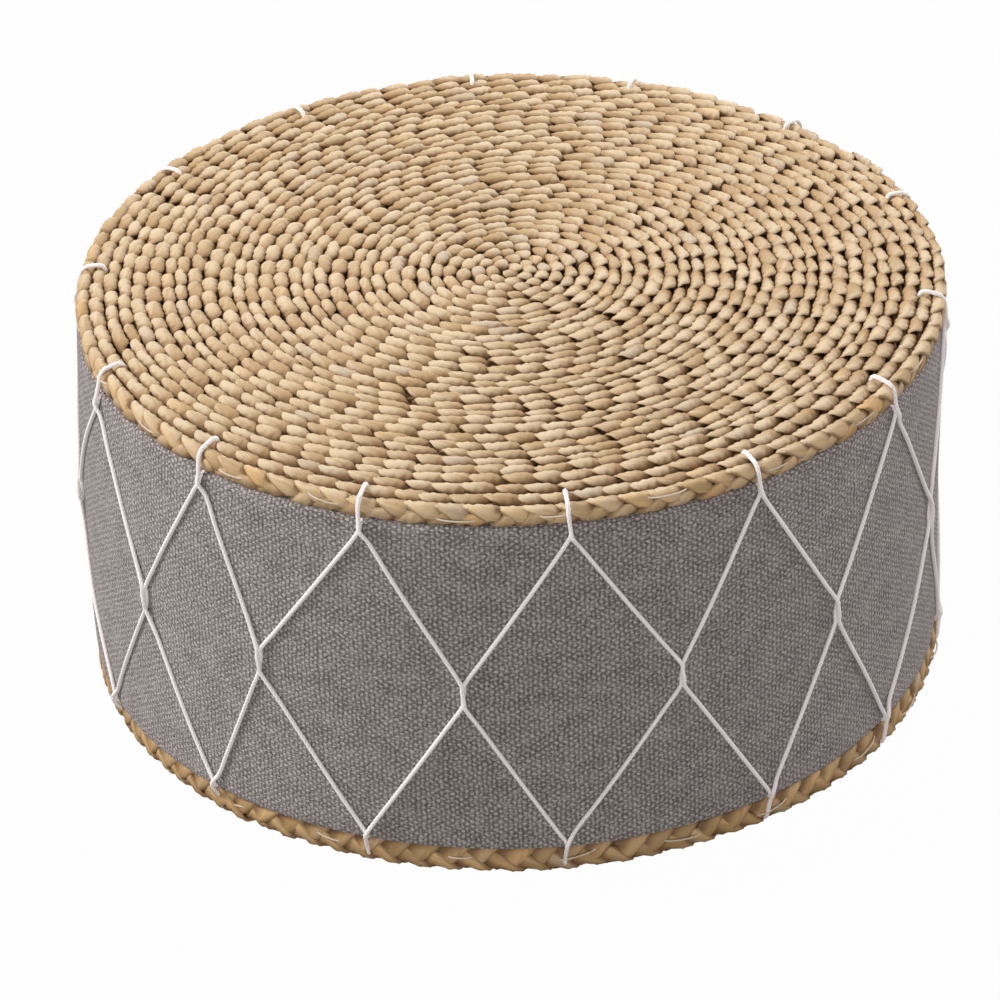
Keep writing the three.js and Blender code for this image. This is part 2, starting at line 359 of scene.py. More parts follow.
class Finish:
    """A material that is being built"""

    def __init__(self, name, roughness, **constants):
        self.material = bpy.data.materials.new(name)
        self.material.use_nodes = True
        self.tree = self.material.node_tree
        self.shader = self.tree.nodes["Principled BSDF"]
        self.shader.inputs["Roughness"].default_value = roughness
        for socket, value in constants.items():
            self.shader.inputs[socket.replace("_", " ")].default_value = value

    def node(self, kind, settings=None, inputs=None, output=0):
        """A node of a kind: its settings are made first, then the values or links of its sockets"""
        made = self.tree.nodes.new(kind)
        for name, value in (settings or {}).items():
            setattr(made, name, value)
        for name, value in (inputs or {}).items():
            self.feed(made.inputs[name], value)
        return Field(self, made.outputs[output])

    def feed(self, socket, value):
        """Links a field to a socket, or gives the socket a plain value"""
        if isinstance(value, Field):
            self.tree.links.new(value.socket, socket)
        elif socket.type == "RGBA":
            socket.default_value = (*value, 1)
        else:
            socket.default_value = value

    def attribute(self, name):
        """A number that the mesh holds for each of its points"""
        return self.node("ShaderNodeAttribute", {"attribute_name": name}, output="Fac")

    def uv(self, name, **change):
        """Places on one of the piece's own maps, scaled, moved or turned"""
        place = self.node("ShaderNodeUVMap", {"uv_map": name})
        return self.node("ShaderNodeMapping", None, {"Vector": place, **change})

    def stretched(self, vector, scale):
        """Places scaled once more"""
        return self.node("ShaderNodeMapping", None, {"Vector": vector, "Scale": scale})

    def place(self, scale=(1, 1, 1)):
        """Places in the pouf itself, in metres times a scale"""
        return self.stretched(self.node("ShaderNodeTexCoord", output="Object"), scale)

    def noise(self, vector, scale=1.0, detail=2.0, roughness=0.5):
        """Soft cloudy noise between 0 and 1"""
        inputs = {"Vector": vector, "Scale": scale, "Detail": detail, "Roughness": roughness}
        return self.node("ShaderNodeTexNoise", {"noise_dimensions": "3D"}, inputs)

    def mix(self, share, low, high):
        """A colour between two others"""
        settings = {"data_type": "RGBA", "blend_type": "MIX", "clamp_factor": True}
        return self.node("ShaderNodeMix", settings, {0: share, 6: low, 7: high}, output=2)

    def bump(self, height, distance, strength=1.0):
        """Fine relief from a height between 0 and 1"""
        inputs = {"Height": height, "Distance": distance, "Strength": strength}
        return self.node("ShaderNodeBump", None, inputs)

    def wear(self, **sockets):
        """Feeds the shader and gives the finished material"""
        for name, value in sockets.items():
            self.feed(self.shader.inputs[name.replace("_", " ")], value)
        return self.material


def shaded(colour, share):
    """A colour made darker or lighter"""
    return tuple(share * part for part in colour)


def leaf_finish(sizes):
    """Dry folded leaf: fibres along the strand, a tone of its own for each strand with painted light and
    shade across it, painted shade down in the plait and painted shadow lines along the rims' strand edges
    """
    finish = Finish("folded_leaf", 0.68, Specular_IOR_Level=0.3)
    slant = finish.uv("strand", Rotation=(0, 0, math.radians(24)))
    fibre_scale, rib_scale = (30, 850, 1), (12, 380, 1)
    fibres = finish.noise(finish.stretched(slant, fibre_scale), detail=3.0, roughness=0.6)
    ribs = finish.noise(finish.stretched(slant, rib_scale), detail=1.0)
    blotches = finish.noise(finish.uv("strand"), scale=90.0, detail=3.0)
    # The tone carries painted light and shade across each strand and on the rims
    pale = finish.attribute("tone") + (fibres - 0.5) + (ribs - 0.5) * 0.8 + (blotches - 0.5) * 0.5
    pale = pale.over(0.05, 0.95)
    colour = finish.mix(pale, tuple(sizes.leaf), tuple(sizes.leaf_pale))
    warm = (finish.attribute("warm") + (blotches - 0.5) * 0.6).over(0.2, 1.0)
    ripe = finish.mix(pale, shaded(sizes.leaf_warm, 0.7), shaded(sizes.leaf_warm, 1.15))
    colour = finish.mix(warm, colour, ripe)
    grey = (finish.attribute("grey") + (blotches - 0.5) * 0.6).over(0.4, 1.1)
    colour = finish.mix(grey, colour, tuple(sizes.leaf_grey))
    # Painted shade: brown, then dark, down in the plait, in the grooves between turns and under the next
    # strand
    painted_shade = finish.attribute("painted_shade") + (fibres - 0.5) * 0.1
    colour = finish.mix(painted_shade.over(0.0, 0.75) * 0.85, colour, tuple(sizes.leaf_painted_fold_shade))
    colour = finish.mix(painted_shade.over(0.3, 1.05), colour, tuple(sizes.leaf_painted_deep_shade))
    # Painted shadow: thin dark lines along the strands' edges on the rims
    edge = finish.attribute("edge") + (blotches - 0.5) * 0.12
    colour = finish.mix(edge.over(0.66, 0.9) * 0.65, colour, tuple(sizes.leaf_painted_deep_shade))
    relief = finish.bump(fibres + ribs * 0.2, 0.25 * MM, 0.6)
    return finish.wear(Base_Color=colour, Normal=relief)


def weave_finish(cloth):
    """Coarse plain weave: pale blobs where the standing threads lie on top, flecked and a little uneven"""
    finish = Finish("side_cloth", 0.95, Specular_IOR_Level=0.1, Sheen_Weight=0.25, Sheen_Roughness=0.5)
    threads = finish.uv("cloth", Scale=(1 / cloth.thread, 1 / cloth.pick, 1))
    broad = finish.uv("cloth", Scale=(0.7 / cloth.thread, 0.7 / cloth.pick, 1), Location=(7, 3, 0))
    wander = finish.noise(threads, scale=0.23, detail=2.0)
    waver = finish.noise(broad, scale=0.5)
    jitter = finish.noise(threads, scale=0.8, detail=1.0)
    across = finish.node("ShaderNodeSeparateXYZ", None, {"Vector": threads}, output="X")
    across = across + (wander - 0.5) * 1.3 + (jitter - 0.5) * 0.9
    up = finish.node("ShaderNodeSeparateXYZ", None, {"Vector": threads}, output="Y")
    up = up + (waver - 0.5) * 1.1 - (jitter - 0.5) * 0.9
    crossing = (across * math.pi).sine() * (up * math.pi).sine()
    blobs = crossing.over(-0.25, 0.9)
    columns = (across * TURN).cosine() * -0.5 + 0.5
    flecks = finish.noise(threads, scale=1.2, detail=2.0, roughness=0.65)
    heather = finish.noise(threads, scale=0.16, detail=2.0)
    level = blobs * 0.45 + columns * 0.25 + (flecks - 0.5) * 1.8 + (heather - 0.5) * 0.5 + 0.16
    colour = finish.mix(level.over(-0.1, 1.1), tuple(cloth.yarn_dark), tuple(cloth.yarn_pale))
    raised = abs(crossing).over(0.0, 0.7)
    relief = finish.bump(raised + blobs * 0.6 + flecks * 0.6, 0.45 * MM, 0.8)
    return finish.wear(Base_Color=colour, Normal=relief)


def cotton_finish(colour):
    """Soft white cotton, with painted shade down between its plies"""
    finish = Finish("cotton_cord", 0.85, Specular_IOR_Level=0.2, Sheen_Weight=0.2, Sheen_Roughness=0.5)
    fuzz = finish.noise(finish.place(), scale=2500.0, detail=2.0)
    # Painted shade between the plies
    plies = finish.attribute("painted_shade")
    shade = finish.mix((fuzz - 0.5) * 0.5 + plies, tuple(colour), shaded(colour, 0.55))
    return finish.wear(Base_Color=shade, Normal=finish.bump(fuzz, 0.15 * MM, 0.6))


def thread_finish():
    """Thin tan sewing thread"""
    finish = Finish("rim_thread", 0.9, Specular_IOR_Level=0.2)
    fuzz = finish.noise(finish.place(), scale=1800.0, detail=2.0)
    return finish.wear(Base_Color=finish.mix(fuzz, (0.46, 0.36, 0.26), (0.76, 0.67, 0.56)))


def foam_finish():
    """Cut cream foam with open cells"""
    finish = Finish("core_foam", 0.9, Specular_IOR_Level=0.1)
    cells = finish.noise(finish.place(), scale=900.0, detail=2.0)
    colour = finish.mix(cells, (0.55, 0.50, 0.38), (0.80, 0.76, 0.62))
    return finish.wear(Base_Color=colour, Normal=finish.bump(cells, 0.4 * MM))


def lining_finish(cloth):
    """Plain lining cloth with a fine square weave"""
    finish = Finish("lining_cloth", 0.9, Specular_IOR_Level=0.15)
    threads = finish.place((1, 1, 0))
    rows = {"Vector": threads, "Scale": 180.0}
    weave = finish.node("ShaderNodeTexWave", {"bands_direction": "X"}, rows)
    weave = weave * finish.node("ShaderNodeTexWave", {"bands_direction": "Y"}, rows)
    weave = weave + finish.noise(threads, scale=400.0) * 0.4
    colour = finish.mix(weave, shaded(cloth.lining, 0.6), tuple(cloth.lining))
    return finish.wear(Base_Color=colour, Normal=finish.bump(weave, 0.3 * MM))


# Shapes


def add_piece(name, mesh, material, replaced=()):
    """Puts a finished mesh in the scene as a piece of the pouf"""
    mesh.materials.clear()
    mesh.materials.append(material)
    mesh.polygons.foreach_set("use_smooth", np.ones(len(mesh.polygons), bool))
    piece = bpy.data.objects.new(name, mesh)
    bpy.context.scene.collection.objects.link(piece)
    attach(piece, "root")
    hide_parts(*replaced)
    return piece


def flat_grid(name, steps, sides, map_name):
    """A flat grid and the step and side of each of its points"""
    grid = bmesh.new()
    grid.loops.layers.uv.new(map_name)
    bmesh.ops.create_grid(grid, x_segments=steps, y_segments=sides, size=0.5, calc_uvs=True)
    mesh = bpy.data.meshes.new(name)
    grid.to_mesh(mesh)
    grid.free()
    places = np.empty(len(mesh.vertices) * 3, np.float32)
    mesh.vertices.foreach_get("co", places)
    places = places.reshape(-1, 3)
    step = np.rint((places[:, 0] + 0.5) * steps).astype(int)
    side = np.rint((places[:, 1] + 0.5) * sides).astype(int)
    return mesh, step, side


def stretch_map(mesh, map_name, length, around, start=0.0):
    """Gives a grid's map its real size in metres"""
    corners = np.empty(len(mesh.loops) * 2, np.float32)
    mesh.uv_layers[map_name].uv.foreach_get("vector", corners)
    corners = corners.reshape(-1, 2) * (length, around) + (start, 0)
    mesh.uv_layers[map_name].uv.foreach_set("vector", corners.astype(np.float32).ravel())


def roll_up(mesh, places, features):
    """Moves a grid's points to their places and keeps what the finish reads of them"""
    mesh.vertices.foreach_set("co", places.astype(np.float32).ravel())
    for name, values in features.items():
        kept = mesh.attributes.new(name, "FLOAT", "POINT")
        kept.data.foreach_set("value", values.astype(np.float32))


def close_tube(mesh, ends=True):
    """Joins the long edges of a rolled-up grid, can fill its ends, and turns its faces outwards"""
    shell = bmesh.new()
    shell.from_mesh(mesh)
    seam = [point for point in shell.verts if point.is_boundary]
    bmesh.ops.remove_doubles(shell, verts=seam, dist=0.001 * MM)
    if ends:
        bmesh.ops.holes_fill(shell, edges=[edge for edge in shell.edges if edge.is_boundary], sides=0)
    bmesh.ops.recalc_face_normals(shell, faces=shell.faces)
    shell.to_mesh(mesh)
    shell.free()
    return mesh


def full(wave):
    """A sine or cosine swollen so that an ellipse gets fuller shoulders"""
    return np.sign(wave) * np.abs(wave) ** 0.8


def smooth(share):
    """Eases a share in and out between 0 and 1"""
    share = np.clip(share, 0, 1)
    return share * share * (3 - 2 * share)


# Mats

TIGHT_RADIUS = 6 * MM  # the plait is at its tightest inside this radius
LOOSENS_OVER = 50 * MM  # and loosens over this distance
TAIL_TURN = 43 / 360  # it thins over this share of a turn before its tail
TAIL_LOSS = 0.6  # share of its thickness lost at the very end
WANDER = 0.75 * MM  # how far the turns wander in and out
WANDER_LENGTH = 33 * MM
DIP = 0.4 * MM  # how far they dip
DIP_LENGTH = 71 * MM
CALM_INSIDE = 50 * MM  # both fade out over this distance round the middle
CALM_OUTSIDE = 30 * MM  # and over this distance from the rim
SPREAD = 1.4 * MM  # how far the bottom mat's rim spreads
SPREAD_FROM = 190 * MM  # the radius where that starts
SPREAD_OVER = 30 * MM
BOTTOM_SHIFT = 1.5 * MM  # how far the bottom mat lies to the left
CORNER_SHARE = 0.97  # radius of the plait's rounded corners over half its width
REACH_SHARE = 1.1  # how far round the outline a strand gets, over the length from mid edge to mid face
SUNK = 2.4 * MM  # how far a strand dives into the plait where its wrap ends
PROUD = 0.6 * MM  # how far the strands stand out from the plait's outline
SIDES = 10  # sides of a strand's section
SLIDE = 1.1 * MM  # chance shift of a lobe along the plait
SIDEWAYS = 0.28 * MM  # chance shift of a lobe across the plait
LIFT = 0.4 * MM  # chance height of a lobe
WIDENING = 0.15 * MM  # chance change of the plait's half width
TUCK = 0.3 * MM  # how much lower the lobes on the outer side lie
ASKEW_DEPTH = 7 * MM  # how far down from the outer side the strands lie aslant
RIM_REACH = 2 * MM  # from the plait's middle out to where the rim's looks apply in full
RIM_SINK = 1.4 * MM  # how far the outside of the rim sinks on its inner half
RIM_SINK_DEPTH = 5 * MM  # from the plait's middle down to where it has sunk in full
LEAST_RADIUS = 3 * MM  # nearer the axis a strand goes round no faster
MAP_STEP = 30.0  # keeps the maps of the three strands apart
SHADE_FROM = 0.6 * MM  # depth in the plait where the painted shade begins
SHADE_OVER = 1.8 * MM  # and how much deeper it is fully dark
GROOVE_FROM = 0.3 * MM  # the same for the painted shade in the grooves between the turns
GROOVE_OVER = 3.4 * MM
BOTTOM_SHOULDER = 1.2 * MM  # how far the bottom mat sinks at its rim


class Mat:
    """One mat's spiral, in its own frame: inner side down, wound outwards towards rising angles"""

    def __init__(self, sizes, tail, drop, turned_over, seed):
        self.sizes = sizes
        self.tail = tail
        self.drop = drop
        self.turned_over = turned_over
        self.seed = seed
        self.turns = (sizes.radius - sizes.start) / sizes.pitch
        self.length = math.pi * self.turns * (2 * sizes.radius - sizes.pitch * self.turns)

    def line(self, along):
        """Turns before the tail, angle and radius of the plait's middle at lengths from its start"""
        sizes = self.sizes
        left = np.maximum(self.length - along, 0)
        turns = (sizes.radius - np.sqrt(sizes.radius**2 - sizes.pitch * left / math.pi)) / sizes.pitch
        return turns, self.tail - TURN * turns, sizes.radius - sizes.pitch * turns

    def tightness(self, radius):
        """Length of a crossing there over its length further out: the plait starts thin and tight"""
        return 0.5 + 0.5 * smooth((radius - TIGHT_RADIUS) / LOOSENS_OVER)

    def crossings(self):
        """Lengths from the start of the plait and how many periods its strands have crossed by there"""
        along = np.linspace(0, self.length, 6001)
        spacing = self.sizes.period * self.tightness(self.line(along)[2])
        step = along[1] / 2 * (1 / spacing[1:] + 1 / spacing[:-1])
        return along, np.concatenate([[0], np.cumsum(step)])

    def taper(self, turns):
        """Share of its thickness that the plait has lost near its tail"""
        return TAIL_LOSS * np.clip(1 - turns / TAIL_TURN, 0, 1)

    def top(self, radius, angle):
        """Height of the mat's outer side over its inner side: it sinks at its rim, most at the front"""
        sizes = self.sizes
        inwards = (sizes.radius - radius) / sizes.shoulder_width
        return sizes.width - self.drop * (0.55 - 0.45 * np.sin(angle)) * smooth(1 - inwards)

    def place(self, angle, radius, height):
        """Points in the row frame, on turns that are wound a little unevenly"""
        sizes = self.sizes
        fade = smooth(radius / CALM_INSIDE) * smooth((sizes.radius - radius) / CALM_OUTSIDE)
        wound = TURN * radius / WANDER_LENGTH
        wave = np.sin(wound + 1.9 * np.sin(angle + self.seed) + 0.8 * np.sin(2 * angle))
        wound = TURN * radius / DIP_LENGTH
        swell = np.sin(wound + 2.2 * np.sin(angle) + np.sin(3 * angle + self.seed))
        radius = radius + WANDER * wave * fade
        height = height - DIP * (1 + swell) * fade * (height > 0.3 * sizes.width)
        shift = sizes.pitch / math.pi
        if self.turned_over:
            radius = radius + SPREAD * smooth((radius - SPREAD_FROM) / SPREAD_OVER)
        x = radius * np.cos(angle) + shift * math.cos(self.tail + math.pi / 2)
        y = radius * np.sin(angle) + shift * math.sin(self.tail + math.pi / 2)
        if self.turned_over:
            return np.stack([x - BOTTOM_SHIFT, -y, np.maximum(sizes.width - height, 0)], axis=-1)
        return np.stack([x, y, SEAT_SIDE + height], axis=-1)


def plait_outline(length, depth, half_width, half_height):
    """A place on the plait's outline, at a length round it from the middle of an edge and a depth in it"""
    corner = CORNER_SHARE * half_width
    flat = half_width - corner
    reach = np.abs(length)
    turned = np.clip((reach - flat) / corner, 0, math.pi / 2)
    down = np.clip(reach - flat - corner * math.pi / 2, 0, 2 * (half_height - corner))
    sideways = np.minimum(reach, flat) + (corner - depth) * np.sin(turned)
    up = half_height - corner + (corner - depth) * np.cos(turned) - down
    return np.sign(length) * sideways, up


def over_edge(along, across, out, width, shape):
    """
    Points of a strand where it wraps over an edge of the plait, from the inner face to the outer one.

    It climbs at an even slope over the edge and lies flatter on the faces. Its hind side lies on top of
    the strand before and its front side under the next one.
    """
    bound = 0.5 * math.pi * np.clip(along / shape["half_wrap"], -1, 1)
    corner = CORNER_SHARE * shape["half_width"]
    reach = REACH_SHARE * (shape["half_width"] + shape["half_height"] + (math.pi / 2 - 2) * corner)
    middle = reach * np.sin(bound)
    slope = np.arctan(0.5 * math.pi * reach / shape["half_wrap"] * np.cos(bound))
    length = middle - across * np.cos(slope)
    sunk = SUNK * smooth((np.abs(along) / shape["half_wrap"] - 0.55) / 0.45)
    depth = shape["half_thick"] - out + shape["shingle"] * (across / width + 0.5) + sunk - PROUD
    depth = np.minimum(depth, 0.95 * corner)
    sideways, up = plait_outline(length, depth, shape["half_width"], shape["half_height"])
    return across * np.sin(slope), sideways, up, depth


def leaf_tone_and_painted_shade(mat, tone, side_share, on_rim, depth, below):
    """What the finish reads of a strand: its tone with painted light and shade across it and on the rims,
    painted shade down in the plait, in the grooves and under the next strand, and painted shadow lines at
    its edges on the rims
    """
    # Painted shade: darker deep in the plait, in the grooves between the turns and where the next strand
    # lies over this one
    under = np.maximum(depth - SHADE_FROM, 0) / SHADE_OVER
    painted_groove_shade = (below - GROOVE_FROM) / GROOVE_OVER * (1 - on_rim)
    lap_start = 0.07 - (0.12 if mat.turned_over else 0.02) * on_rim
    painted_lap_shadow = (0.48 + 0.3 * on_rim) * smooth((side_share - lap_start) / (0.3 - 0.1 * on_rim))
    return {
        # Own tone of each strand, with painted light and shade: lighter on the side on top, darker on the
        # side under the next strand, and darker on the rims, most on the bottom mat's
        "tone": tone - 0.6 * side_share - (0.3 if mat.turned_over else 0.05) * on_rim,
        "painted_shade": smooth(np.maximum(np.maximum(under, painted_groove_shade), painted_lap_shadow)),
        # Painted shadow: thin dark lines along the strands' edges on the rims
        "edge": -2 * side_share * on_rim,
    }


def plait_strand(mat, strand, name, material, replaced):
    """One of a mat's three strands, which weaves from edge to edge of the plait as the spiral winds"""
    sizes = mat.sizes
    random = np.random.default_rng(mat.seed + strand)
    lengths, crossed = mat.crossings()
    periods = crossed[-1]
    steps = round(periods * sizes.stations)
    # Stations lie closer together where the strand wraps over the top edge than inside the plait
    even = np.linspace(0, periods, steps + 1) + strand / 3
    phase = even - (0.2 * np.sin(TURN * even) + 0.175 * np.sin(2 * TURN * even)) / TURN
    phase = np.clip(phase, phase[0], periods + strand / 3)
    turns, angle, radius = mat.line(np.interp(phase - phase[0], crossed, lengths))
    tight = mat.tightness(radius)
    half = 0.5 * sizes.period * tight

    lobe = np.rint(2 * phase).astype(int)
    ahead = (2 * phase - lobe) * half
    following = lobe + np.where(ahead < 0, -1, 1)
    hold = smooth(0.5 + (0.5 * half - np.abs(ahead)) / (0.37 * half))

    def varied(spread):
        """A chance value for each lobe, blended where one lobe passes into the next"""
        values = random.normal(0, spread, lobe[-1] + 3).clip(-2 * spread, 2 * spread)
        return hold * values[lobe] + (1 - hold) * values[following]

    thinned = 1 - mat.taper(turns)
    inside = smooth(np.abs(ahead) / (0.41 * half))
    width = sizes.leaf_width * tight * (1 - 0.27 * inside) * (1 + varied(0.1)) * (0.5 + 0.5 * thinned)
    width *= 1 + (0.22 if mat.turned_over else 0.1) * smooth(2 - turns)
    thickness = sizes.leaf_thickness * (1 - 0.45 * inside) * (1 + varied(0.16)) * thinned
    slide, lean = varied(SLIDE) * tight, varied(0.1)
    shift, lift = varied(SIDEWAYS), varied(LIFT) * (0.4 if mat.turned_over else 1)
    shingle = sizes.shingle * (1 + varied(0.25)) * thinned
    half_width = (0.5 * (sizes.pitch - sizes.gap) + varied(WIDENING)) * thinned
    half_height = mat.top(radius, angle) / 2
    tone = 0.5 + varied(0.15)
    grey = 0.7 * smooth((varied(1.0) - 0.8) / 1.2)
    warm = 0.5 * smooth((varied(1.0) - 0.5) / 1.5)

    mesh, step, side = flat_grid(name, steps, SIDES, "strand")
    shown = 5 if mat.turned_over else 6  # sides on the half that lies outwards on top
    turn = math.pi * np.where(side <= shown, side / shown, 1 + (side - shown) / (SIDES - shown))
    across = 0.5 * width[step] * full(np.cos(turn))
    out = 0.5 * thickness[step] * full(np.sin(turn))
    shape = {
        "half_wrap": (0.5 * half * (1 + lean))[step],
        "half_thick": 0.5 * thickness[step],
        "half_width": half_width[step],
        "half_height": half_height[step],
        "shingle": shingle[step],
    }
    at_top = np.where(lobe % 2 == 0, 1, -1)[step]
    ahead = ahead[step]
    own = over_edge(ahead, across, at_top * out, width[step], shape)
    other = over_edge(ahead - np.sign(ahead) * half[step], across, -at_top * out, width[step], shape)
    hold = hold[step]
    forward, sideways, up, depth = (hold * ours + (1 - hold) * theirs for ours, theirs in zip(own, other))
    up = at_top * (hold * own[2] - (1 - hold) * other[2])
    middle = radius[step] - 0.5 * sizes.pitch * mat.taper(turns[step])
    below = half_height[step] - up  # how far down from the mat's outer side
    askew = sizes.askew * np.where(turns[step] > 1, 1, 0.5) * smooth(1 - below / ASKEW_DEPTH)
    sideways = sideways + shift[step] - askew * forward * hold
    lift = np.where(at_top > 0, lift[step] - TUCK, 0) * hold
    on_rim = (turns[step] <= 1) * smooth(sideways / RIM_REACH)
    lift = lift - RIM_SINK * on_rim * smooth(-up / RIM_SINK_DEPTH)
    points = mat.place(
        angle[step] + (forward + slide[step] * hold) / np.maximum(middle, LEAST_RADIUS),
        middle + sideways,
        half_height[step] + up + lift,
    )
    # The strand's tone with painted light and shade, its painted shade and its painted shadow lines
    features = leaf_tone_and_painted_shade(mat, tone[step], across / width[step], on_rim, depth, below)
    features["grey"] = grey[step]
    features["warm"] = warm[step] + (0.75 if mat.turned_over else 0.55) * on_rim
    roll_up(mesh, points, features)
    stretch_map(mesh, "strand", mat.length, 2 * sizes.leaf_width, strand * MAP_STEP)
    return add_piece(name, close_tube(mesh), material, replaced)


def top_mat(sizes):
    """The mat of the seat, whose tail shows at the right"""
    return Mat(sizes, math.radians(33), sizes.shoulder_drop, False, 11)


def bottom_mat(sizes):
    """The mat under the pouf, with its tail out of sight and hardly any shoulder"""
    return Mat(sizes, math.radians(-140), BOTTOM_SHOULDER, True, 57)


class POUF_OT_top_mat(bpy.types.Operator):
    """Make the plaited mat of the seat"""

    bl_idname = "pouf.top_mat"
    bl_label = "Top Mat"

    def execute(self, context):
        mat = top_mat(context.scene.pouf_plait)
        material = leaf_finish(mat.sizes)
        for strand in range(3):
            plait_strand(mat, strand, f"top_mat_strand_{strand + 1}", material, ["top_mat"])
        return {"FINISHED"}


class POUF_OT_bottom_mat(bpy.types.Operator):
    """Make the plaited mat that the pouf stands on, in the leaf of the top mat"""

    bl_idname = "pouf.bottom_mat"
    bl_label = "Bottom Mat"

    def execute(self, context):
        mat = bottom_mat(context.scene.pouf_plait)
        material = bpy.data.materials["folded_leaf"]
        for strand in range(3):
            plait_strand(mat, strand, f"bottom_mat_strand_{strand + 1}", material, ["bottom_mat"])
        return {"FINISHED"}


# Cloth

SIDE_LOW = 15 * MM  # the upper face of the bottom mat
FOOT_NARROWING = 0.4 * MM  # how much narrower the side gets down there
RIPPLE = 0.25 * MM  # height of the long waves in the side
FINE_RIPPLE = 0.2 * MM  # and of the short ones
HEM = 16 * MM  # how far the cloth is turned in
HEM_BEND = 2.5 * MM  # radius of the turn
SEAM_GAP = 0.2 * MM  # from the cloth to each mat
CLOTH_STEPS = 420  # round the side
CLOTH_ROWS = 84  # from hem to hem


def side_radius(height, angle, cloth):
    """Outside of the woven side: it narrows under the top mat and sags a little to one side low down"""
    share = np.clip((height - SIDE_LOW) / (SEAT_SIDE - SIDE_LOW), 0, 1)
    narrowing = cloth.swell * share**3 + FOOT_NARROWING * (1 - share) ** 4
    lean = cloth.lean * (1 - 0.75 * share**3)
    ripple = RIPPLE * np.sin(5 * angle + 1.0 + 45 * height) + FINE_RIPPLE * np.sin(11 * angle - 60 * height)
    return cloth.radius - narrowing - lean * np.cos(angle) + ripple


class POUF_OT_side(bpy.types.Operator):
    """Make the woven side, with its hems turned in between the mats and the core"""

    bl_idname = "pouf.side"
    bl_label = "Woven Side"

    def execute(self, context):
        cloth = context.scene.pouf_cloth
        low, high = SIDE_LOW + SEAM_GAP, SEAT_SIDE - SEAM_GAP
        mesh, step, side = flat_grid("side_sleeve", CLOTH_STEPS, CLOTH_ROWS, "cloth")
        length = 2 * HEM + math.pi * HEM_BEND + (high - low - 2 * HEM_BEND)
        along = length * side / CLOTH_ROWS
        upper = along > length / 2
        near = np.where(upper, length - along, along)  # along the cloth from the nearer hem's edge
        turned = np.clip((near - HEM) / HEM_BEND, 0, math.pi / 2)
        straight = np.clip(near - HEM - HEM_BEND * math.pi / 2, 0, None)
        inwards = HEM_BEND * (1 - np.sin(turned)) + np.clip(HEM - near, 0, None)
        up = HEM_BEND * (1 - np.cos(turned)) + straight
        height = np.where(upper, high - up, low + up)
        angle = TURN * step / CLOTH_STEPS
        radius = side_radius(height, angle, cloth) - inwards
        points = np.stack([radius * np.cos(angle), radius * np.sin(angle), height], axis=-1)
        roll_up(mesh, points, {})
        stretch_map(mesh, "cloth", TURN * cloth.radius, length)
        close_tube(mesh, ends=False)
        piece = add_piece("side_sleeve_cloth", mesh, weave_finish(cloth), ["side_sleeve"])
        wall = piece.modifiers.new("thickness", "SOLIDIFY")
        wall.thickness = cloth.thickness
        wall.offset = -1
        return {"FINISHED"}


# Lacing

CORD_STEP = 0.7 * MM  # from one ring of the cord to the next
CORD_SIDES = 12  # sides of its section
CROSSING = 5.5 * MM  # from a mat to where the two strands of a hook cross
PARTED = 12 * MM  # from a mat to where they have parted
NECK_LENGTH = 13 * MM  # over which two cords twist round each other
NECK_PROUD = 1.1 * MM  # how far the front one of them stands out, and the other lies back
SETTLED = 0.3 * MM  # how far a cord sinks into the cloth
LEG_POINTS = 5  # points of a leg between a hook and a neck
GOES_IN = 3  # the hook's point where the cord runs in under the mat
END_GAP = 1 * MM  # left between the two ends of a cord
# How far the hand-laced hooks and necks lie from an even spacing, in degrees, round from the front
TOP_HOOK_SHIFTS = (0.5, 0, 0, -2, 0, 0, 1, -1, 0, -1, 2, 3.5, 2, 0)
BOTTOM_HOOK_SHIFTS = (-1, 1.5, -1, -1, 0, 1, 0, -1, 0, 1, -1, 3, 1.5, -1)
NECK_SHIFTS = (1.5, 0, 1, 0, -1, 0, 1, 0, -1, 1, 0, 2.5, -2, -0.5)


def smooth_route(points, spacing):
    """Points at an even spacing on a smooth line through the given points"""
    points = np.array(points)
    ends = np.vstack([2 * points[0] - points[1], points, 2 * points[-1] - points[-2]])
    pieces = []
    for at in range(len(points) - 1):
        before, start, finish, after = ends[at : at + 4]
        t = np.linspace(0, 1, 24, endpoint=False)[:, None]
        reach = np.linalg.norm(finish - start)
        lead = (finish - before) / max(np.linalg.norm(finish - before), 1e-9) * reach * 0.6
        trail = (after - start) / max(np.linalg.norm(after - start), 1e-9) * reach * 0.6
        pieces.append(
            (2 * t**3 - 3 * t**2 + 1) * start
            + (t**3 - 2 * t**2 + t) * lead * 1.6
            + (3 * t**2 - 2 * t**3) * finish
            + (t**3 - t**2) * trail * 1.6
        )
    line = np.vstack([*pieces, points[-1:]])
    lengths = np.concatenate([[0], np.cumsum(np.linalg.norm(np.diff(line, axis=0), axis=1))])
    even = np.linspace(0, lengths[-1], round(lengths[-1] / spacing) + 1)
    return np.stack([np.interp(even, lengths, line[:, axis]) for axis in range(3)], axis=-1)


def carried_frames(line):
    """Two directions across a line at each of its points, carried along without twist"""
    forward = np.gradient(line, axis=0)
    forward /= np.linalg.norm(forward, axis=1, keepdims=True)
    across = Vector(forward[0]).orthogonal().normalized()
    frames = []
    previous = Vector(forward[0])
    for direction in forward:
        direction = Vector(direction)
        across = previous.rotation_difference(direction) @ across
        across = (across - direction * across.dot(direction)).normalized()
        frames.append((*across, *direction.cross(across)))
        previous = direction
    frames = np.array(frames)
    return frames[:, :3], frames[:, 3:]


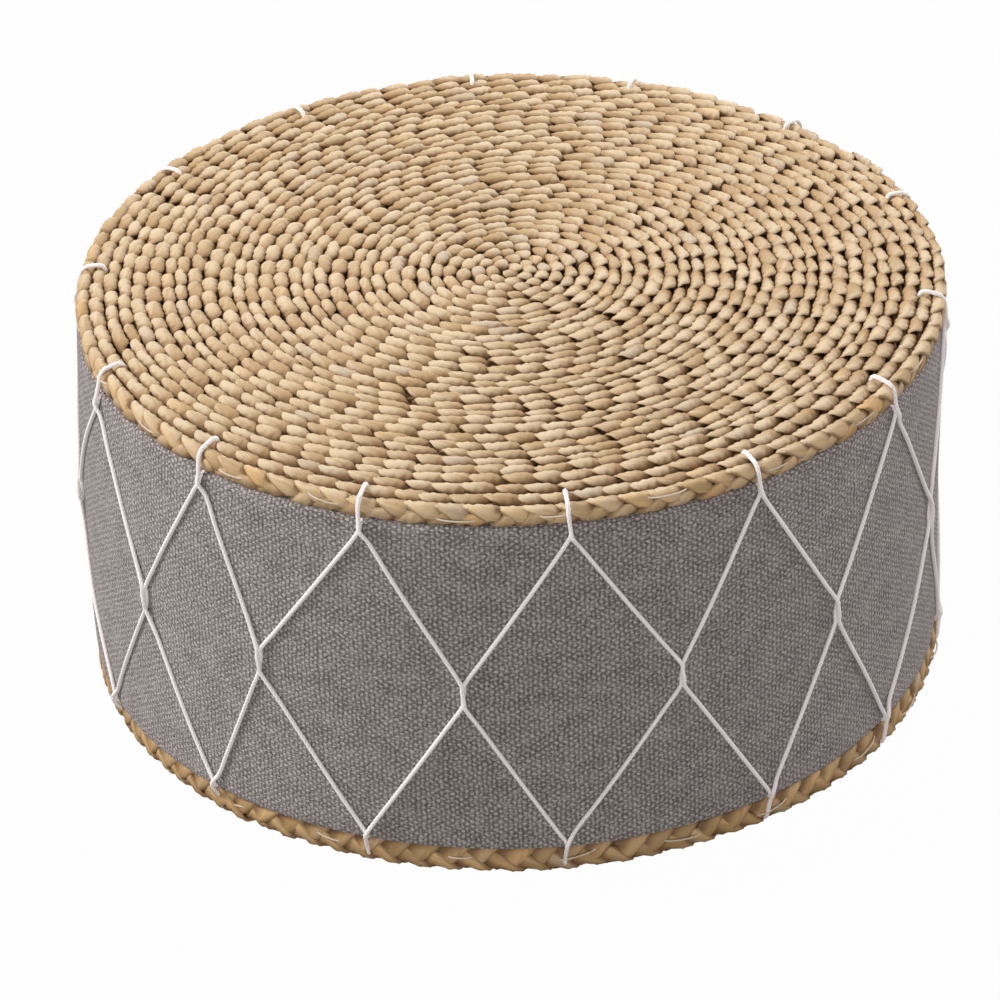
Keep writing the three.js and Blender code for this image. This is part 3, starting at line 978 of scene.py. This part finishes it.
def twisted_cord(name, route, cord, material, replaced):
    """A cord of three plies laid round each other along a route"""
    line = smooth_route(route, CORD_STEP)
    first, second = carried_frames(line)
    steps = len(line) - 1
    mesh, step, side = flat_grid(name, steps, CORD_SIDES, "cord")
    turn = TURN * side / CORD_SIDES
    ply = np.cos(3 * (turn - TURN * step * CORD_STEP / cord.lay))
    radius = 0.5 * cord.diameter * (0.92 + 0.08 * ply)
    points = line[step] + radius[:, None] * (
        first[step] * np.cos(turn)[:, None] + second[step] * np.sin(turn)[:, None]
    )
    # Painted shade down between the plies, for the finish
    roll_up(mesh, points, {"painted_shade": smooth(-ply) * 0.35})
    stretch_map(mesh, "cord", steps * CORD_STEP, math.pi * cord.diameter)
    return add_piece(name, close_tube(mesh), material, replaced)


def beside(angle, side, radius, height):
    """A point beside a hook's angle: to its right seen from outside, at a radius and a height"""
    turned = angle + side / radius
    return (radius * math.cos(turned), radius * math.sin(turned), height)


def hook_places(angle, mat, plait, cloth, cord):
    """One hook: up from the left behind the crossing, under the mat, through it and over its rim"""
    strand = 0.9 * MM
    seat = 0.5 * cord.diameter
    at_top = not mat.turned_over
    low = 0.1 * MM - seat  # between the hem and the mat
    rim = plait.radius - 0.5 * plait.pitch
    second = rim - plait.pitch
    plunge = second - 0.25 * plait.pitch
    lift = 0.5 * seat if at_top else -0.8 * seat
    face = plait.radius + 0.8 * seat

    def on_cloth(above):
        """Radius of a cord on the woven side, at a height above the mat's inner side"""
        height = SEAT_SIDE + above if at_top else plait.width - above
        return float(side_radius(height, angle, cloth)) + seat

    def on_mat(radius):
        """Height of a cord on the mat's outer side"""
        return float(mat.top(radius, angle)) + lift

    # To the right of the hook, radius, and height above the mat's inner side
    places = [
        (-4.2 * MM, on_cloth(-PARTED), -PARTED),
        (-0.4 * MM, on_cloth(-CROSSING), -CROSSING),
        (0, on_cloth(-3 * MM) - 0.3 * MM, low - 1.8 * MM),
        (0, plait.radius - 3.5 * MM, low),
        (-strand, plunge + 2.2 * MM, low),
        (-strand, plunge, low + 2.2 * MM),
        (-strand, plunge, on_mat(plunge) - 4.4 * MM),
        (-strand, plunge + 0.9 * MM, on_mat(plunge) - 1.5 * MM),
        (-strand, second + 0.6 * MM, on_mat(second)),
        (-strand, rim - 1.6 * MM, on_mat(rim) + 0.5 * MM),
        (-strand, rim + 1.6 * MM, on_mat(rim) - 0.5 * MM),
        (-strand, face - 0.9 * MM, on_mat(rim) - 3.0 * MM),
        (-strand, face, 0.5 * on_mat(rim)),
        (-0.3 * MM, max(face, on_cloth(-1 * MM)) + 0.6 * MM, low),
        (0.4 * MM, on_cloth(-CROSSING) + 1.9 * MM, -CROSSING),
        (4.2 * MM, on_cloth(-PARTED), -PARTED),
    ]
    route = []
    for side, radius, above in places:
        height = SEAT_SIDE + above if at_top else max(plait.width - above, 1.1 * seat)
        route.append(beside(angle, side, radius, height))
    return route


def neck_places(angle, going_down, cloth, cord):
    """Two cords twist half round each other at half height: the one on its way down passes in front"""
    strand = 0.6 * MM
    direction = 1 if going_down else -1
    places = []
    for share in (0, 0.25, 0.5, 0.75, 1):
        height = HEIGHT / 2 + direction * NECK_LENGTH * (0.5 - share)
        side = -strand * math.cos(math.pi * share)
        middle = float(side_radius(height, angle, cloth)) + 0.5 * cord.diameter + strand
        proud = direction * NECK_PROUD * (0.6 + 0.4 * math.sin(math.pi * share))
        places.append(beside(angle, side, middle + proud, height))
    return places


def leg_places(start, finish, cloth, cord):
    """Points of a straight leg that keeps to the round side"""
    begin, end = math.atan2(start[1], start[0]), math.atan2(finish[1], finish[0])
    turn = (end - begin) % TURN
    out_start = math.hypot(start[0], start[1]) - float(side_radius(start[2], begin, cloth))
    out_end = math.hypot(finish[0], finish[1]) - float(side_radius(finish[2], end, cloth))
    settled = 0.5 * cord.diameter - SETTLED
    places = []
    for at in range(1, LEG_POINTS + 1):
        share = at / (LEG_POINTS + 1)
        height = start[2] + (finish[2] - start[2]) * share
        proud = out_start + (out_end - out_start) * share
        proud = settled + (proud - settled) * (1 - math.sin(math.pi * share)) ** 2
        angle = begin + turn * share
        radius = float(side_radius(height, angle, cloth)) + proud
        places.append((radius * math.cos(angle), radius * math.sin(angle), height))
    return places


def cord_route(first_hook, plait, cloth, cord):
    """The whole of one cord, from a gap under the top mat right round to the other side of that gap"""
    top, bottom = top_mat(plait), bottom_mat(plait)
    spacing = TURN / cord.hooks
    rows = []
    for hook in range(cord.hooks):
        at_top = hook % 2 == 0
        place = (first_hook + hook) % cord.hooks
        shifts = TOP_HOOK_SHIFTS if at_top else BOTTOM_HOOK_SHIFTS
        even = cord.first_hook + place * spacing
        angle = even + math.radians(shifts[place % len(shifts)])
        rows.append(hook_places(angle, top if at_top else bottom, plait, cloth, cord))
        neck = even + spacing / 2 + math.radians(NECK_SHIFTS[place % len(NECK_SHIFTS)])
        rows.append(neck_places(neck, at_top, cloth, cord))
    route = []
    for at, row in enumerate(rows):
        following = rows[(at + 1) % len(rows)]
        route += row + leg_places(row[-1], following[0], cloth, cord)
    onwards = GOES_IN + 1
    before, after = Vector(route[GOES_IN]), Vector(route[onwards])
    middle = (before + after) / 2
    gap = (after - before).normalized() * (0.5 * END_GAP)
    return [tuple(middle + gap), *route[onwards:], *route[:onwards], tuple(middle - gap)]


class POUF_OT_lacing(bpy.types.Operator):
    """Make the two cords that are laced round the side"""

    bl_idname = "pouf.lacing"
    bl_label = "Lacing"

    def execute(self, context):
        scene = context.scene
        cord = scene.pouf_lacing
        material = cotton_finish(cord.cotton)
        for first_hook, name in enumerate(("lacing_cord_a", "lacing_cord_b")):
            route = cord_route(first_hook, scene.pouf_plait, scene.pouf_cloth, cord)
            twisted_cord(f"{name}_twisted", route, cord, material, [name])
        return {"FINISHED"}


# Stitches

STITCHES = 24  # round each rim
THREAD_RADIUS = 0.45 * MM
STITCH_STEPS = 10  # along one stitch
HALF_STITCH = 10 * MM
STITCH_PROUD = 0.5 * MM  # how far its middle stands out
STITCH_DIVE = 2.2 * MM  # how far its ends go in
STITCH_SIZES = {"top": (6.0 * MM, 0), "bottom": (8.5 * MM, 1.4 * MM)}  # height on the rim, and how proud


def rim_stitches(place, low, plait):
    """The threads that show round one rim, as a mesh"""
    up, stands_out = STITCH_SIZES[place]
    random = np.random.default_rng(len(place))
    curve = bpy.data.curves.new(f"{place}_rim_stitches", "CURVE")
    curve.dimensions = "3D"
    curve.bevel_depth = THREAD_RADIUS
    curve.bevel_resolution = 2
    for stitch in range(STITCHES):
        angle = math.radians(-100 + 360 / STITCHES * stitch) + random.normal(0, 0.02)
        middle = low + up + random.normal(0, 0.8 * MM)
        half_length = HALF_STITCH + random.normal(0, 1.2 * MM)
        tilt = random.normal(0.05, 0.12)
        line = curve.splines.new("POLY")
        line.points.add(STITCH_STEPS)
        for at, point in enumerate(line.points):
            share = 2 * at / STITCH_STEPS - 1
            proud = STITCH_PROUD - STITCH_DIVE * abs(share) ** 3 + stands_out
            side = half_length * share
            point.co = (*beside(angle, side, plait.radius + proud, middle + tilt * side), 1)
    helper = bpy.data.objects.new(curve.name, curve)
    mesh = bpy.data.meshes.new_from_object(helper)
    bpy.data.objects.remove(helper)
    return mesh


class POUF_OT_stitches(bpy.types.Operator):
    """Make the threads that show round both rims, where the rim's turn is sewn to the hem"""

    bl_idname = "pouf.stitches"
    bl_label = "Rim Stitches"

    def execute(self, context):
        thread = thread_finish()
        for place, low in (("top", SEAT_SIDE), ("bottom", 0.0)):
            mesh = rim_stitches(place, low, context.scene.pouf_plait)
            add_piece(f"{place}_rim_stitches", mesh, thread)
        return {"FINISHED"}


# Pieces inside

FOAM_EDGE = 4 * MM  # radius of the foam's edges
CLOTH_EDGE = 0.4 * MM
DISC_SIDES = 96


def rounded_disc(node, edge, material):
    """A disc with rounded edges in the place of one of the frame's pieces, and its radius"""
    low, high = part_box(node)
    depth = high.z - low.z
    disc = bmesh.new()
    bmesh.ops.create_cone(
        disc, cap_ends=True, segments=DISC_SIDES, radius1=high.x, radius2=high.x, depth=depth, calc_uvs=True
    )
    bmesh.ops.translate(disc, verts=disc.verts, vec=(0, 0, (low.z + high.z) / 2))
    rims = [line for line in disc.edges if abs(line.verts[0].co.z - line.verts[1].co.z) < edge / 10]
    bmesh.ops.bevel(disc, geom=rims, offset=edge, segments=4, profile=0.5, affect="EDGES", material=-1)
    mesh = bpy.data.meshes.new(f"{node}_disc")
    disc.to_mesh(mesh)
    disc.free()
    return add_piece(f"{node}_disc", mesh, material, [node]), high.x


class POUF_OT_core(bpy.types.Operator):
    """Make the foam discs of the core and the cloth discs that close the hems"""

    bl_idname = "pouf.core"
    bl_label = "Core"

    def execute(self, context):
        foam = foam_finish()
        for node in ("lower_foam", "middle_foam", "upper_foam"):
            rounded_disc(node, FOAM_EDGE, foam)
        lining = lining_finish(context.scene.pouf_cloth)
        for node, below in (("bottom_cloth", "bottom_mat"), ("top_cloth", "upper_foam")):
            disc, radius = rounded_disc(node, CLOTH_EDGE, lining)
        return {"FINISHED"}


# Stage

FLOOR_REACH = 6.0  # metres each way
FLOOR_DROP = 0.3 * MM  # keeps the floor clear of the pouf's underside
WHITENESS = 0.985  # share of plain white in the floor that the camera sees
SKY_ON_OBJECT = 0.32  # strength of the sky's light on the pouf
SKY_SEEN = 1.0  # and to the camera
SENSOR_WIDTH = 36  # millimetres
LAMPS = (  # name, place and size in metres, and watts
    ("key", (-2.65, 0.15, 2.0), 1.0, 104),
    ("overhead", (0.5, 1.4, 1.7), 0.9, 29),
    ("front_light", (0.1, -3.1, 1.0), 2.0, 42),
    ("side_light", (2.7, 1.2, 1.2), 1.5, 50),
)


def add_floor(scene):
    """A floor that the camera sees nearly white, and that lights the pouf only a little"""
    floor = bmesh.new()
    bmesh.ops.create_grid(floor, x_segments=1, y_segments=1, size=FLOOR_REACH)
    mesh = bpy.data.meshes.new("floor")
    floor.to_mesh(mesh)
    floor.free()
    mesh.transform(Matrix.Translation((0, 0, -FLOOR_DROP)))
    ground = bpy.data.objects.new("floor", mesh)
    scene.collection.objects.link(ground)
    finish = Finish("white_floor", 0.9, Specular_IOR_Level=0.0)
    finish.wear(Base_Color=(0.22, 0.21, 0.20))
    plain = Field(finish, finish.shader.outputs[0])
    glow = finish.node("ShaderNodeEmission", None, {"Color": (1, 1, 1), "Strength": 1.0})
    seen = finish.node("ShaderNodeLightPath", output="Is Camera Ray")
    both = finish.node("ShaderNodeMixShader", None, {0: seen * WHITENESS, 1: plain, 2: glow})
    finish.feed(finish.tree.nodes["Material Output"].inputs["Surface"], both)
    mesh.materials.append(finish.material)


def add_world(scene):
    """A world that is white to the camera and dim to the pouf"""
    world = bpy.data.worlds.new("studio")
    scene.world = world
    world.use_nodes = True
    sky = world.node_tree
    background = sky.nodes["Background"]
    path = sky.nodes.new("ShaderNodeLightPath")
    strength = sky.nodes.new("ShaderNodeMapRange")
    sky.links.new(path.outputs["Is Camera Ray"], strength.inputs["Value"])
    strength.inputs["To Min"].default_value = SKY_ON_OBJECT
    strength.inputs["To Max"].default_value = SKY_SEEN
    background.inputs["Color"].default_value = (1, 1, 1, 1)
    sky.links.new(strength.outputs[0], background.inputs["Strength"])


def add_lamp(scene, name, place, size, power):
    """A square lamp that shines on the pouf"""
    light = bpy.data.lights.new(name, "AREA")
    light.size = size
    light.energy = power
    lamp = bpy.data.objects.new(name, light)
    lamp.location = place
    lamp.rotation_euler = (Vector((0, 0, 0.1)) - Vector(place)).to_track_quat("-Z", "Y").to_euler()
    scene.collection.objects.link(lamp)


def add_camera(scene, stage):
    """The camera, before the pouf and above it, with the pouf a little off the middle of the picture"""
    right = Vector((1, 0, 0))
    up = Vector((0, math.sin(stage.elevation), math.cos(stage.elevation)))
    away = up.cross(right).normalized()
    middle = Vector((0, 0, HEIGHT / 2))
    eye = middle - away * stage.distance
    level = right * math.cos(stage.roll) - up * math.sin(stage.roll)
    upright = right * math.sin(stage.roll) + up * math.cos(stage.roll)
    aim = middle + level * stage.aim_side + upright * stage.aim_up
    forward = (aim - eye).normalized()
    side = forward.cross(upright).normalized()
    camera = bpy.data.objects.new("camera", bpy.data.cameras.new("camera"))
    camera.data.lens = stage.lens
    camera.data.sensor_width = SENSOR_WIDTH
    axes = Matrix((side, side.cross(forward), -forward)).transposed()
    camera.matrix_world = Matrix.Translation(eye) @ axes.to_4x4()
    scene.collection.objects.link(camera)
    scene.camera = camera


class POUF_OT_stage(bpy.types.Operator):
    """Make the floor, the lamps and the camera"""

    bl_idname = "pouf.stage"
    bl_label = "Stage"

    def execute(self, context):
        scene = context.scene
        add_floor(scene)
        add_world(scene)
        for lamp in LAMPS:
            add_lamp(scene, *lamp)
        add_camera(scene, scene.pouf_stage)
        scene.view_settings.view_transform = "Standard"
        return {"FINISHED"}


class POUF_PT_tools(bpy.types.Panel):
    """The pouf's pieces"""

    bl_label = "Plaited Pouf"
    bl_idname = "POUF_PT_tools"
    bl_space_type = "VIEW_3D"
    bl_region_type = "UI"
    bl_category = "Pouf"

    def draw(self, context):
        for piece in PIECES:
            self.layout.operator(piece.bl_idname)


SETTINGS = {
    "pouf_plait": PlaitSettings,
    "pouf_cloth": ClothSettings,
    "pouf_lacing": LacingSettings,
    "pouf_stage": StageSettings,
}
PIECES = (
    POUF_OT_top_mat,
    POUF_OT_bottom_mat,
    POUF_OT_side,
    POUF_OT_core,
    POUF_OT_lacing,
    POUF_OT_stitches,
    POUF_OT_stage,
)


def register():
    for kind in (*SETTINGS.values(), *PIECES, POUF_PT_tools):
        bpy.utils.register_class(kind)
    for name, kind in SETTINGS.items():
        setattr(bpy.types.Scene, name, PointerProperty(type=kind))


def unregister():
    for name in SETTINGS:
        delattr(bpy.types.Scene, name)
    for kind in reversed((*SETTINGS.values(), *PIECES, POUF_PT_tools)):
        bpy.utils.unregister_class(kind)


def main():
    register()
    bpy.ops.pouf.top_mat()
    bpy.ops.pouf.bottom_mat()
    bpy.ops.pouf.side()
    bpy.ops.pouf.core()
    bpy.ops.pouf.lacing()
    bpy.ops.pouf.stitches()
    bpy.ops.pouf.stage()


if __name__ == "__main__":
    main()
